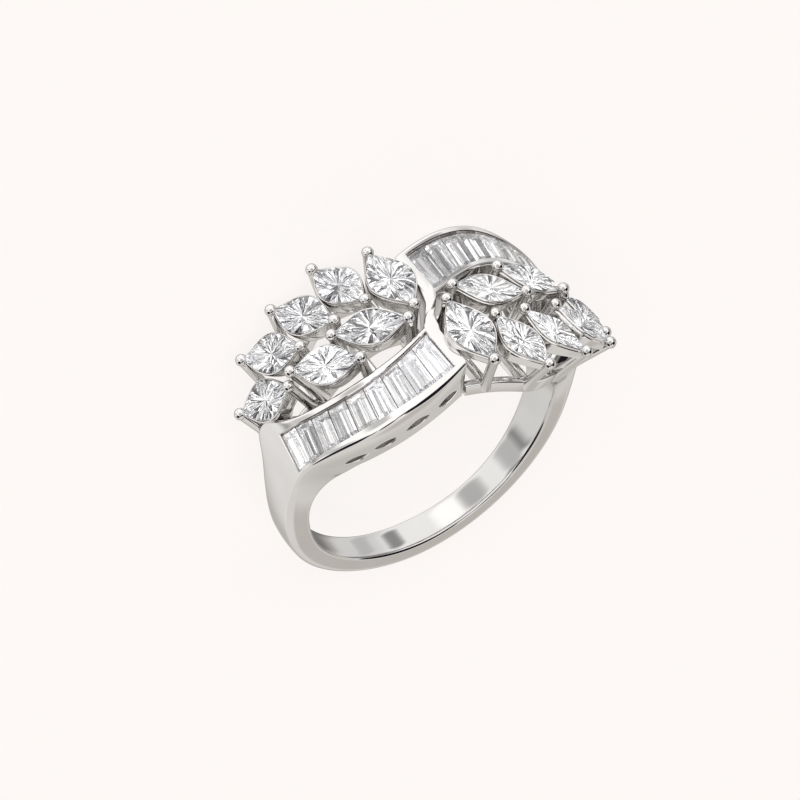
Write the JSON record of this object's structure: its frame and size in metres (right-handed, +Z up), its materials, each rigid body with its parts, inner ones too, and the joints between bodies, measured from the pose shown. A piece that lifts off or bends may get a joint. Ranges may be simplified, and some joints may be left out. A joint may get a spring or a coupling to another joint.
{
  "type": "baguette diamond ring",
  "caption": "Bypass cocktail ring in white gold with two curved channels of baguette diamonds and two sprays of claw-set marquise diamonds.",
  "frame": {"origin": "centre of the finger hole, on its axis, halfway along the head", "axes": "+Z up from the surface the ring lies on, -Y towards the head; the finger's axis leans 15.3 degrees from Z as the ring lies"},
  "size_m": [0.0231, 0.023, 0.0123],
  "materials": {
    "white_gold": "polished",
    "diamond": "faceted and polished"
  },
  "bodies": {
    "root": {"ring_mount": "white_gold", "baguette_1": "diamond", "baguette_2": "diamond", "baguette_3": "diamond", "baguette_4": "diamond", "baguette_5": "diamond", "baguette_6": "diamond", "baguette_7": "diamond", "baguette_8": "diamond", "baguette_9": "diamond", "baguette_10": "diamond", "baguette_11": "diamond", "baguette_12": "diamond", "baguette_13": "diamond", "baguette_14": "diamond", "baguette_15": "diamond", "baguette_16": "diamond", "baguette_17": "diamond", "baguette_18": "diamond", "marquise_1": "diamond", "marquise_2": "diamond", "marquise_3": "diamond", "marquise_4": "diamond", "marquise_5": "diamond", "marquise_6": "diamond", "marquise_7": "diamond", "marquise_8": "diamond", "marquise_9": "diamond", "marquise_10": "diamond", "marquise_11": "diamond", "marquise_12": "diamond", "marquise_13": "diamond", "marquise_14": "diamond"}
  },
  "joints": []
}
